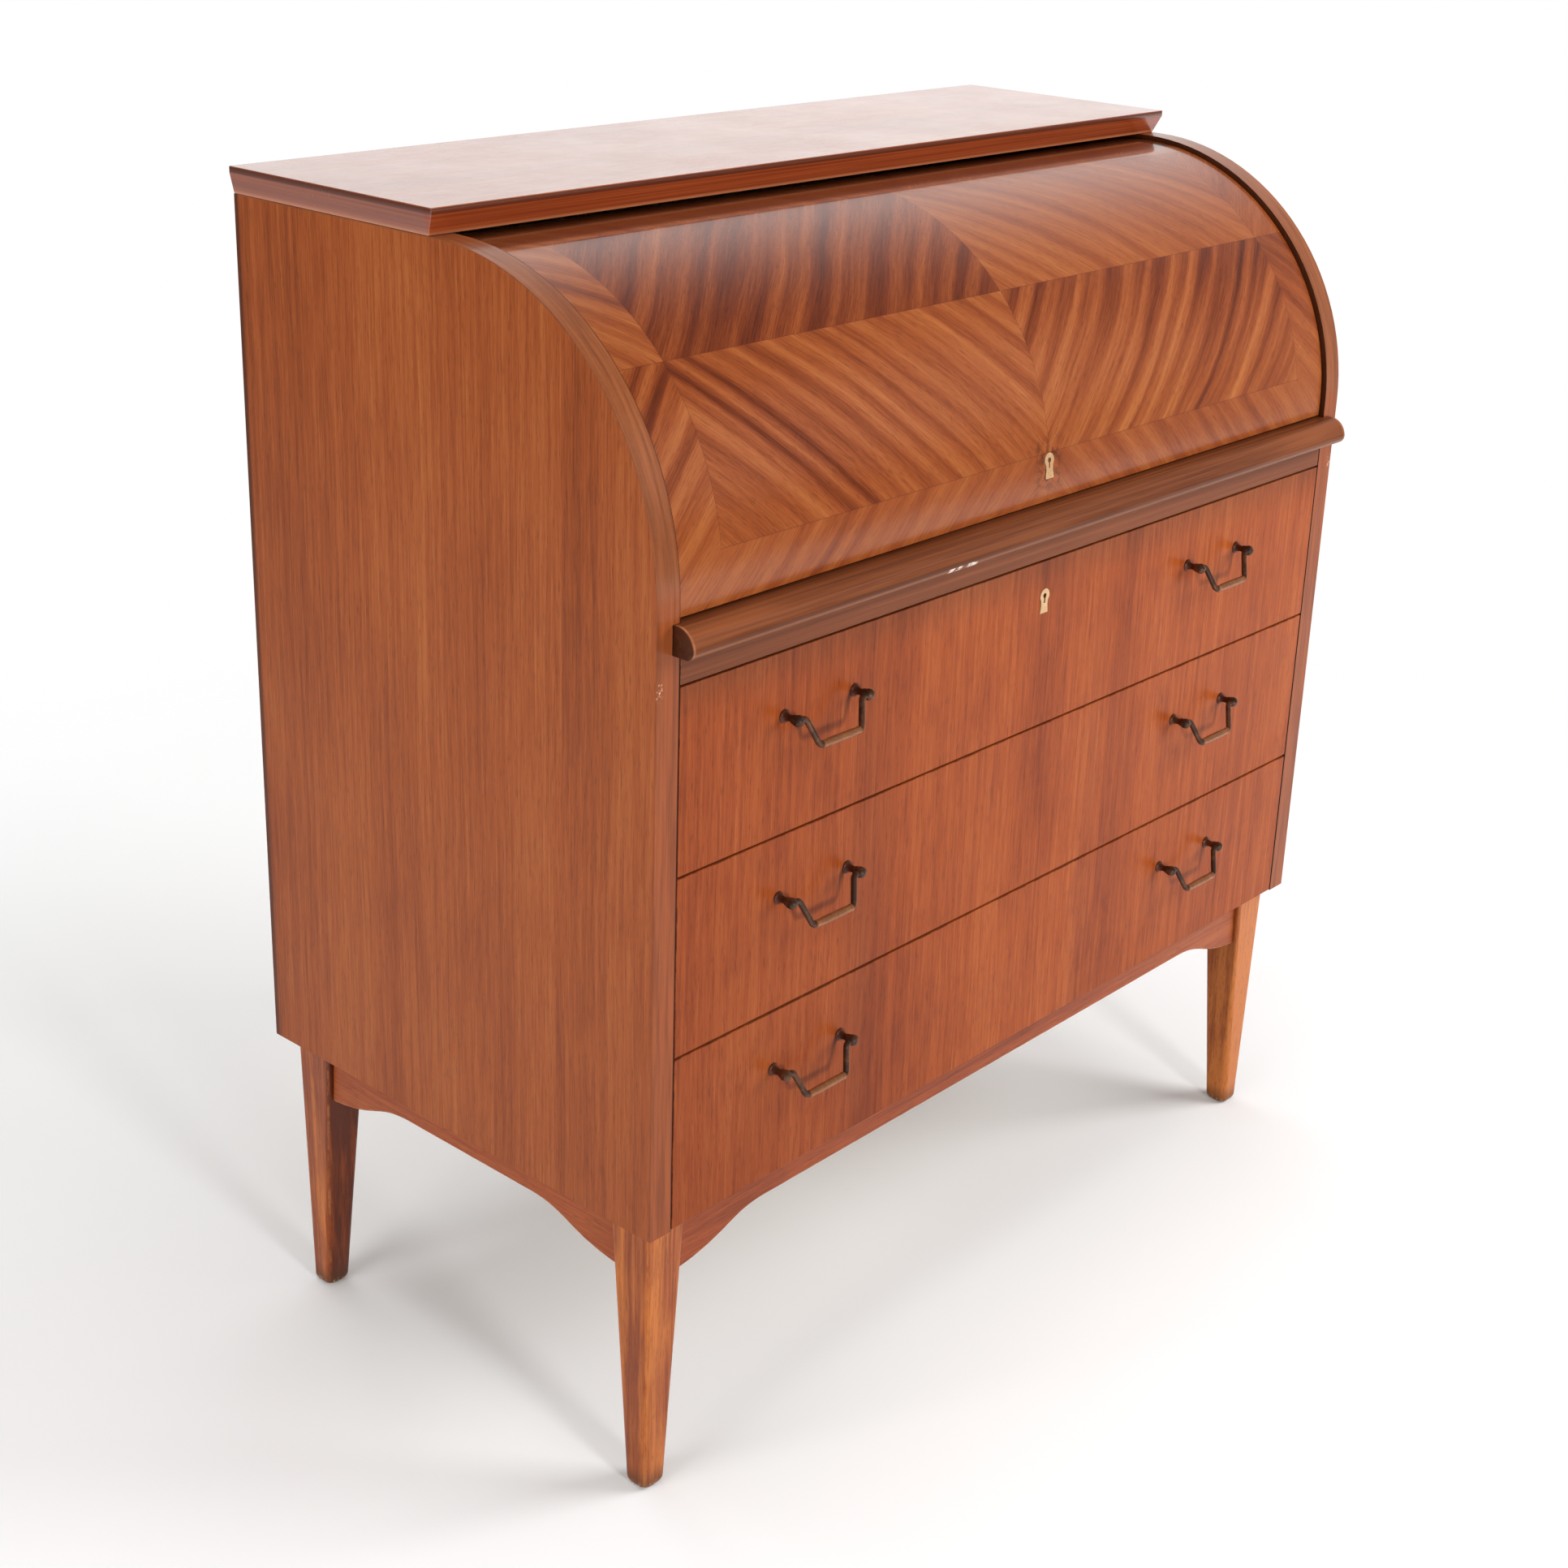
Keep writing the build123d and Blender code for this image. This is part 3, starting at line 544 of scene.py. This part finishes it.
case_wood = wood("case_veneer_upright", "Z", case_tones, 1.0, trim=panel_edges)
front_wood = wood("drawer_veneer_upright", "Z", front_tones, 2.0, shine=0.1, worn=paint(70, 30, 16),
                  wear=0.7, trim=drawer_bands)
top_wood = wood("top_veneer_lengthwise", "X", case_tones, 3.0, gloss=0.24, shine=0.6, trim=board_edges)
apron_wood = {grain: wood(f"apron_wood_{grain}", grain, apron_tones, 4.0, worn=paint(200, 136, 88), wear=0.65)
              for grain in "XY"}
inner_wood = {grain: wood(f"inner_mahogany_{grain}", grain, inner_tones, 5.0, gloss=0.42)
              for grain in "XYZ"}
pale_wood = {grain: wood(f"pale_hardwood_{grain}", grain, pale_tones, 6.0, gloss=0.55, coat=0.0, streak=0.4)
             for grain in "XYZ"}
ply_wood = {grain: wood(f"plywood_{grain}", grain, ply_tones, 7.0, gloss=0.6, coat=0.0, streak=0.7)
            for grain in "XZ"}
shell_wood = figured_veneer("figured_veneer_diamond")
nose_wood = rail_wood("slide_rail_wood")
foot_wood = leg_wood("leg_wood")
# Its bright colour, which the bail bars take all over, is rubbed brass tinted as a painted reflection of the wood
dark_brass = worn_metal("dark_brass", paint(66, 42, 30), paint(156, 100, 62), rubbed=0.8, rough=0.42,
                        grime=0.4, metal=0.45, wall=drawer_face)
pale_brass = worn_metal("pale_brass", paint(206, 164, 116), paint(236, 206, 166), rubbed=0.7, rough=0.34,
                        grime=0.25, metal=0.3)
plain_steel = worn_metal("plain_steel", paint(150, 150, 148), paint(186, 186, 184), rubbed=0.5, rough=0.38,
                         grime=0.3)

inner_grain = {"fitment_ends": "Z", "fitment_dividers": "Z", "cylinder_cheeks": "Z"}
pale_grain = {"drawer_runners": "Y", "corner_blocks": "Z"}


def finish_of(node):
    """The material of a CAD node, and how far its edges are softened."""
    slot = slot_of_node[node]
    if node.startswith("side_panel"):
        return case_wood, 0.0016
    if node == "top_board":
        return top_wood, 0.0009
    if node.startswith("apron"):
        return apron_wood["Y" if node.endswith(("left", "right")) else "X"], 0.0018
    if node == "slide_rail":
        return nose_wood, 0.0012
    if node.startswith("drawer") and node.endswith("front"):
        return front_wood, 0.0007
    if slot in ("inner_mahogany", "mahogany_veneer"):
        return inner_wood[inner_grain.get(node, "X")], 0.0007
    if slot == "pale_hardwood":
        return pale_wood["Y" if node.endswith("box") else pale_grain.get(node, "X")], 0.0008
    if slot == "plywood":
        return ply_wood["Z" if node == "back_panel" else "X"], 0.0005
    if slot == "pale_brass":
        return pale_brass, 0.00025
    return plain_steel, 0.0004


def set_down(node, mesh, material):
    """A finished piece in the scene, in place of its CAD node and on the same body."""
    mesh.materials.clear()
    mesh.materials.append(material)
    piece = bpy.data.objects.new(f"{node}.finished", mesh)
    bpy.context.scene.collection.objects.link(piece)
    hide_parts(node)
    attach(piece, body_of_node[node])
    finished_nodes.add(node)


def plain_mesh(holder, name):
    """An object's shape with its modifiers, as a mesh of its own. The object is removed."""
    mesh = bpy.data.meshes.new_from_object(holder.evaluated_get(bpy.context.evaluated_depsgraph_get()))
    holder.modifiers.clear()
    bpy.data.objects.remove(holder)
    mesh.name = name
    return mesh


def held(data, name):
    """Puts a mesh, curve, lamp or camera into the scene as an object."""
    holder = bpy.data.objects.new(name, data)
    bpy.context.scene.collection.objects.link(holder)
    return holder


def smooth_mesh(bm, name):
    """A mesh that is smooth over its gentle edges."""
    for face in bm.faces:
        face.smooth = True
    mesh = bpy.data.meshes.new(name)
    bm.to_mesh(mesh)
    bm.free()
    mesh.set_sharp_from_angle(angle=math.radians(40))
    return mesh


def shaded(bm, name):
    """A smooth mesh whose large faces still look flat."""
    holder = held(smooth_mesh(bm, name), name)
    modifier = holder.modifiers.new("flat faces", "WEIGHTED_NORMAL")
    modifier.keep_sharp = True
    modifier.weight = 100
    return plain_mesh(holder, name)


def soften(bm, width, steps=3, least=math.radians(28)):
    """Rounds the sharp edges, and marks the new faces for wear."""
    layer = bm.faces.layers.float.new("edge")
    sharp = [e for e in bm.edges if len(e.link_faces) == 2 and e.calc_face_angle() > least]
    done = bmesh.ops.bevel(bm, geom=sharp, offset=width, offset_type="OFFSET", segments=steps,
                           profile=0.5, affect="EDGES", clamp_overlap=True)
    for face in done["faces"]:
        face[layer] = 1.0


def part_solids(bm):
    """Separates the solids of a piece where their corners touch, so that each one is closed by itself."""
    sorted_out = set()
    solids = []
    for first in bm.faces:
        if first not in sorted_out:
            solid = [first]
            sorted_out.add(first)
            for face in solid:
                for edge in face.edges:
                    beside = [f for f in edge.link_faces if f not in sorted_out]
                    if len(edge.link_faces) == 2 and beside:
                        solid += beside
                        sorted_out.update(beside)
            solids.append(solid)
    for solid in solids[1:]:
        bmesh.ops.split(bm, geom=solid, use_only_faces=True)


def dressed(node):
    """A CAD node with softened edges and its finish."""
    material, width = finish_of(node)
    bm = bmesh.new()
    bm.from_mesh(frame["nodes"][node].data)
    bmesh.ops.remove_doubles(bm, verts=bm.verts, dist=1e-6)
    part_solids(bm)
    bmesh.ops.dissolve_limit(bm, angle_limit=math.radians(0.4), verts=bm.verts, edges=bm.edges)
    soften(bm, width)
    set_down(node, shaded(bm, node), material)


def arc_shell():
    """The cylinder front, with a fine arc and softened edges."""
    foot = shell_low.z - roll_z
    arcs = []
    for radius in (shell_outer, shell_outer - shell_thickness):
        start = math.asin(foot / radius)
        angles = [start + (shell_top - start) * i / shell_steps for i in range(shell_steps + 1)]
        arcs.append([(roll_y - radius * math.cos(t), roll_z + radius * math.sin(t)) for t in angles])
    loop = arcs[0] + arcs[1][::-1]
    count = len(loop)
    bm = bmesh.new()
    left, right = [[bm.verts.new((x, y, z)) for y, z in loop] for x in (shell_low.x, shell_high.x)]
    for i in range(count):
        k = (i + 1) % count
        bm.faces.new((left[i], left[k], right[k], right[i]))
    for end in (left, right):
        for i in range(shell_steps):
            quad = (end[i], end[count - 1 - i], end[count - 2 - i], end[i + 1])
            bm.faces.new(quad if end is left else quad[::-1])
    bmesh.ops.recalc_face_normals(bm, faces=bm.faces)
    soften(bm, shell_edge)
    set_down("cylinder_shell", shaded(bm, "cylinder_shell"), shell_wood)


def rounded_square(middle_x, middle_y, z, half, radius):
    """Points round a square with round corners."""
    points = []
    reach = (half - radius) * math.sqrt(2)
    for quarter in range(4):
        diagonal = math.pi / 4 + quarter * math.pi / 2
        for k in range(corner_steps + 1):
            turn = math.pi / 2 * (quarter + k / corner_steps)
            x = reach * math.cos(diagonal) + radius * math.cos(turn)
            y = reach * math.sin(diagonal) + radius * math.sin(turn)
            points.append((middle_x + x, middle_y + y, z))
    return points


def tapered_leg(node):
    """A square leg with soft corners that is rounder at its worn foot."""
    low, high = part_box(node)
    out_x, out_y = math.copysign(1, low.x), math.copysign(1, low.y)
    corner_x = low.x if out_x < 0 else high.x
    corner_y = low.y if out_y < 0 else high.y
    levels = []
    for i in range(foot_rings + 1):
        turn = math.pi / 2 * i / foot_rings
        levels.append((foot_round * (1 - math.cos(turn)), foot_round * 0.8 * (1 - math.sin(turn))))
    levels.append((high.z, 0.0))
    bm = bmesh.new()
    rings = []
    for z, inset in levels:
        share = z / high.z
        size = leg_foot + (leg_top - leg_foot) * share
        middle = foot_step * (1 - share) + size / 2
        half = size / 2 - inset
        radius = min(leg_round * (2.0 - share), 0.95 * half)
        ring = rounded_square(corner_x - out_x * middle, corner_y - out_y * middle, z, half, radius)
        rings.append([bm.verts.new(point) for point in ring])
    worn = bm.faces.layers.float.new("edge")
    front = bm.faces.layers.float.new("front")
    count = len(rings[0])
    for lower, upper in zip(rings, rings[1:]):
        for i in range(count):
            k = (i + 1) % count
            face = bm.faces.new((lower[i], lower[k], upper[k], upper[i]))
            face[worn] = float(i % (corner_steps + 1) in middle_steps)
    bm.faces.new(rings[0][::-1])
    bm.faces.new(rings[-1])
    bmesh.ops.recalc_face_normals(bm, faces=bm.faces)
    # How far each face looks to the front, for the painted light and shade of the leg wood
    for face in bm.faces:
        face[front] = max(0.0, -face.normal.y)
    set_down(node, shaded(bm, node), foot_wood)


def lathe(profile, steps=24):
    """A turned mesh about Y from pairs of place along Y and radius, closed at its poles."""
    bm = bmesh.new()
    rings = []
    for y, radius in profile:
        if radius == 0:
            rings.append([bm.verts.new((0, y, 0))])
        else:
            turns = [2 * math.pi * i / steps for i in range(steps)]
            rings.append([bm.verts.new((radius * math.cos(t), y, radius * math.sin(t))) for t in turns])
    for first, second in zip(rings, rings[1:]):
        for i in range(steps):
            k = (i + 1) % steps
            corners = [first[i % len(first)], first[k % len(first)]]
            corners += [second[k % len(second)], second[i % len(second)]]
            bm.faces.new(list(dict.fromkeys(corners)))
    bmesh.ops.recalc_face_normals(bm, faces=bm.faces)
    return bm


def geometry_tree(name, inputs):
    """An empty geometry tree with named inputs and its first geometry."""
    group = bpy.data.node_groups.new(name, "GeometryNodeTree")
    group.interface.new_socket("Geometry", in_out="INPUT", socket_type="NodeSocketGeometry")
    for label, kind in inputs.items():
        group.interface.new_socket(label, in_out="INPUT", socket_type=kind)
    group.interface.new_socket("Geometry", in_out="OUTPUT", socket_type="NodeSocketGeometry")
    tree = Tree(group)
    return group, tree, tree.node("NodeGroupInput")


def end_tree(tree, first, shape):
    """Ends a geometry tree in real geometry with its finish."""
    real = tree.node("GeometryNodeRealizeInstances", None, {0: shape})
    done = tree.node("GeometryNodeSetMaterial", None, {"Geometry": real, "Material": first.other("Finish")})
    tree.node("NodeGroupOutput", None, {0: done})


def repeat_tree():
    """Sets a copy of one piece on every point of the source."""
    inputs = {"Piece": "NodeSocketObject", "Finish": "NodeSocketMaterial"}
    group, tree, first = geometry_tree("repeat on points", inputs)
    piece = tree.node("GeometryNodeObjectInfo", None, {"Object": first.other("Piece")}, out="Geometry")
    copies = tree.node("GeometryNodeInstanceOnPoints", None, {"Points": first, "Instance": piece})
    end_tree(tree, first, copies)
    return group


def bent_rod_tree():
    """Bends a rod along the source curve, with rounded corners and closed ends."""
    inputs = {"Radius": "NodeSocketFloat", "Bend": "NodeSocketFloat", "Finish": "NodeSocketMaterial"}
    group, tree, first = geometry_tree("bent rod", inputs)
    corners = {"Curve": first, "Count": 8, "Radius": first.other("Bend"), "Limit Radius": True}
    path = tree.node("GeometryNodeFilletCurve", {"mode": "POLY"}, corners)
    round_section = {"Resolution": 16, "Radius": first.other("Radius")}
    ring = tree.node("GeometryNodeCurvePrimitiveCircle", None, round_section)
    swept = {"Curve": path, "Profile Curve": ring, "Fill Caps": True}
    end_tree(tree, first, tree.node("GeometryNodeCurveToMesh", None, swept))
    return group


repeat_on_points = repeat_tree()
bent_rod = bent_rod_tree()


def run_tree(tree, inputs, source, name):
    """Runs a geometry tree on a source mesh or curve and returns its result as a plain mesh."""
    holder = held(source, name)
    modifier = holder.modifiers.new(name, "NODES")
    modifier.node_group = tree
    for item in tree.interface.items_tree:
        if item.in_out == "INPUT" and item.name in inputs:
            modifier[item.identifier] = inputs[item.name]
    return plain_mesh(holder, name)


def repeated(bm, points, material, name):
    """Copies of one small shape at several points, as one mesh."""
    model = held(smooth_mesh(bm, name), name + " model")
    places = bpy.data.meshes.new(name + " places")
    places.from_pydata(points, [], [])
    done = run_tree(repeat_on_points, {"Piece": model, "Finish": material}, places, name)
    bpy.data.objects.remove(model)
    return done


def handle_posts(drawer):
    """Turned posts of both handles: a stepped rosette, a waisted stem and a round eye with a small nub."""
    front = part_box(f"{drawer}_front")[0].y
    rosette = [(0.0, 0.0), (0.0, 0.0054), (-0.0006, 0.0053), (-0.0011, 0.0048), (-0.0016, 0.0041)]
    stem = [(-0.0020, 0.0037), (-0.0032, 0.0031), (-0.0055, 0.0027), (-0.0078, 0.0029), (-0.0090, 0.0036),
            (-0.0098, 0.0037)]
    turns = [math.radians(53 + 17 * i) for i in range(7)]
    eye = [(-post_reach + eye_radius * math.cos(t), eye_radius * math.sin(t)) for t in turns]
    tip = -post_reach - eye_radius
    nub = [(tip + 0.0002, 0.0012), (tip, 0.0)]
    points = []
    for side in ("left", "right"):
        x, _, z = joint[f"{drawer}_bail_{side}_swing"]["pos_m"]
        points += [(x - post_spacing / 2, front, z), (x + post_spacing / 2, front, z)]
    node = f"{drawer}_posts"
    set_down(node, repeated(lathe(rosette + stem + eye + nub), points, dark_brass, node), dark_brass)


def turned_bar():
    """The bail's grip about Y, with a collar at each end."""
    half = bail_bar / 2 - bar_shortening
    neck = bail_radius + 0.0001
    profile = [(0.0, 0.0), (0.0, neck), (0.0006, bar_radius), (0.0022, bar_radius), (0.0030, neck + 0.0003),
               (0.0050, bar_radius - 0.0003), (0.0100, bar_radius)]
    first_half = [(place - half, radius) for place, radius in profile]
    bm = lathe(first_half + [(-place, radius) for place, radius in reversed(first_half)], 20)
    # Every face of the bar takes the bright colour: rubbed brass, with a painted reflection of the wood
    rubbed = bm.faces.layers.float.new("edge")
    for face in bm.faces:
        face[rubbed] = 1.0
    return bm


def bail(node):
    """Bent arms in the posts' eyes, and a turned bar between them."""
    x, y, z = joint[f"{node}_swing"]["pos_m"]
    pin = post_spacing / 2 + eye_radius
    arm = post_spacing / 2 - bail_inset - eye_radius / 2
    path = [(-pin, 0), (-arm, 0), (-bail_bar / 2, 1), (bail_bar / 2, 1), (arm, 0), (pin, 0)]
    curve = bpy.data.curves.new(node + " path", "CURVE")
    curve.dimensions = "3D"
    spline = curve.splines.new("POLY")
    spline.points.add(len(path) - 1)
    for point, (along, down) in zip(spline.points, path):
        point.co = (x + along, y - bail_bow * down, z - bail_drop * down, 1.0)
    sizes = {"Radius": bail_radius, "Bend": bail_bend, "Finish": dark_brass}
    bm = turned_bar()
    in_place = Matrix.Translation((x, y - bail_bow, z - bail_drop)) @ Matrix.Rotation(math.pi / 2, 4, "Z")
    bmesh.ops.transform(bm, matrix=in_place, verts=bm.verts)
    bm.from_mesh(run_tree(bent_rod, sizes, curve, node))
    set_down(node, shaded(bm, node), dark_brass)


def slotted_screws():
    """Domed screw heads with a cut slot, on the back panel."""
    low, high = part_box("back_screws")
    panel_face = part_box("back_panel")[1].y
    height = high.y - panel_face
    dome = [(0.0, 0.0), (0.0, 1.0), (0.35, 0.97), (0.75, 0.78), (1.0, 0.45), (1.0, 0.0)]
    bm = lathe([(rise * height, share * screw_radius) for rise, share in dome], 20)
    for vert in bm.verts:
        if abs(vert.co.x) < slot_half_width and vert.co.y > 0.5 * height:
            vert.co.y -= 0.35 * height
    first_z, last_z = low.z + screw_radius, high.z - screw_radius
    zs = [first_z + (last_z - first_z) * i / (screw_rows - 1) for i in range(screw_rows)]
    points = [(x, panel_face, z) for x in (low.x + screw_radius, high.x - screw_radius) for z in zs]
    set_down("back_screws", repeated(bm, points, plain_steel, "back_screws"), plain_steel)


arc_shell()
slotted_screws()
for drawer in ("drawer_1", "drawer_2", "drawer_3"):
    handle_posts(drawer)
    for side in ("left", "right"):
        bail(f"{drawer}_bail_{side}")
for node in ("leg_front_left", "leg_front_right", "leg_rear_left", "leg_rear_right"):
    tapered_leg(node)
for node in sorted(set(frame["nodes"]) - finished_nodes):
    dressed(node)


# Stage: a pale floor that fades into a white surround, soft lamps and the camera

def surround():
    """White where it is seen, a backdrop behind the desk in its gloss, and an even soft light elsewhere."""
    world = bpy.data.worlds.new("surround")
    world.use_nodes = True
    bpy.context.scene.world = world
    tree = Tree(world.node_tree)
    seen = tree.node("ShaderNodeLightPath")
    mirrored = seen.other("Is Glossy Ray").larger(seen.other("Is Transmission Ray"))
    way = tree.node("ShaderNodeTexCoord", out="Generated")
    sockets = {0: way, 1: backdrop_way}
    behind = tree.node("ShaderNodeVectorMath", {"operation": "DOT_PRODUCT"}, sockets, "Value")
    room_in_gloss = dim_room - room_light
    in_gloss = behind.step(0.16, 0.62) * (1 - dim_room) + room_in_gloss
    strength = room_light + seen * (1 - room_light) + mirrored * in_gloss
    light = tree.node("ShaderNodeBackground", None, {"Color": grey(1.0), "Strength": strength})
    tree.node("ShaderNodeOutputWorld", None, {"Surface": light})


def floor():
    """White where it is seen or mirrored, grey in the light it throws back, and clear far from the desk."""
    f = Finish("pale_floor")
    reach = f.node("ShaderNodeVectorMath", {"operation": "LENGTH"}, {0: f.place}, "Value")
    seen = f.node("ShaderNodeLightPath")
    mirrored = seen.other("Is Glossy Ray").larger(seen.other("Is Transmission Ray"))
    white = f.blend(f.figure(0.3, (0.0, 0.0, 0.0)), grey(0.97), grey(1.0))
    colour = f.blend(seen.larger(mirrored), grey(floor_grey), white)
    pale = f.node("ShaderNodeBsdfDiffuse", None, {"Color": colour})
    clear = f.node("ShaderNodeBsdfTransparent")
    fading = f.node("ShaderNodeMixShader", None, {0: reach.step(0.75, 1.9) * seen, 1: pale, 2: clear})
    f.node("ShaderNodeOutputMaterial", None, {"Surface": fading})
    corners = [(-floor_half, -floor_half, 0), (floor_half, -floor_half, 0), (floor_half, floor_half, 0),
               (-floor_half, floor_half, 0)]
    mesh = bpy.data.meshes.new("floor")
    mesh.from_pydata(corners, [], [(0, 1, 2, 3)])
    mesh.materials.append(f.material)
    held(mesh, "floor")


def lamp(name, place, aim, size, watts, mirrored=False):
    """A soft rectangular lamp. The desk's gloss shows it only if it is mirrored."""
    light = bpy.data.lights.new(name, "AREA")
    light.shape = "RECTANGLE"
    light.size, light.size_y = size
    light.energy = watts
    holder = held(light, name)
    holder.location = place
    holder.rotation_euler = (Vector(aim) - Vector(place)).to_track_quat("-Z", "Y").to_euler()
    holder.visible_camera = False
    holder.visible_glossy = mirrored


def camera():
    """At the photograph's place, with its focal length and framing."""
    data = bpy.data.cameras.new("camera")
    data.sensor_width = 36.0
    data.lens = lens_mm
    data.shift_x, data.shift_y = lens_shift
    data.clip_end = 50.0
    turn = Matrix((camera_right, camera_up, camera_back)).transposed()
    holder = held(data, "camera")
    holder.matrix_world = Matrix.Translation(camera_place) @ turn.to_4x4()
    bpy.context.scene.camera = holder


surround()
floor()
lamp("front softbox", front_lamp, front_aim, (0.5, 0.5), 31.0, mirrored=True)
lamp("front fill", front_lamp, front_aim, (0.5, 0.5), 22.0)
lamp("right front softbox", (2.1, -2.1, 1.9), (0.2, 0.0, 0.5), (1.8, 1.6), 78.0)
lamp("left softbox", (-3.0, 0.2, 0.85), (-0.4, 0.0, 0.55), (1.6, 1.4), 46.0)
lamp("overhead softbox", (0.0, 0.3, 3.2), (0.0, 0.0, 0.0), (2.4, 2.4), 42.0)
lamp("back softbox", (1.9, 1.9, 1.35), (0.0, 0.1, 0.99), (3.0, 1.0), 3.6, mirrored=True)
lamp("rear fill", (0.4, 3.2, 0.9), (0.0, 0.2, 0.5), (1.6, 1.0), 24.0)
camera()
bpy.context.scene.view_settings.view_transform = "Standard"
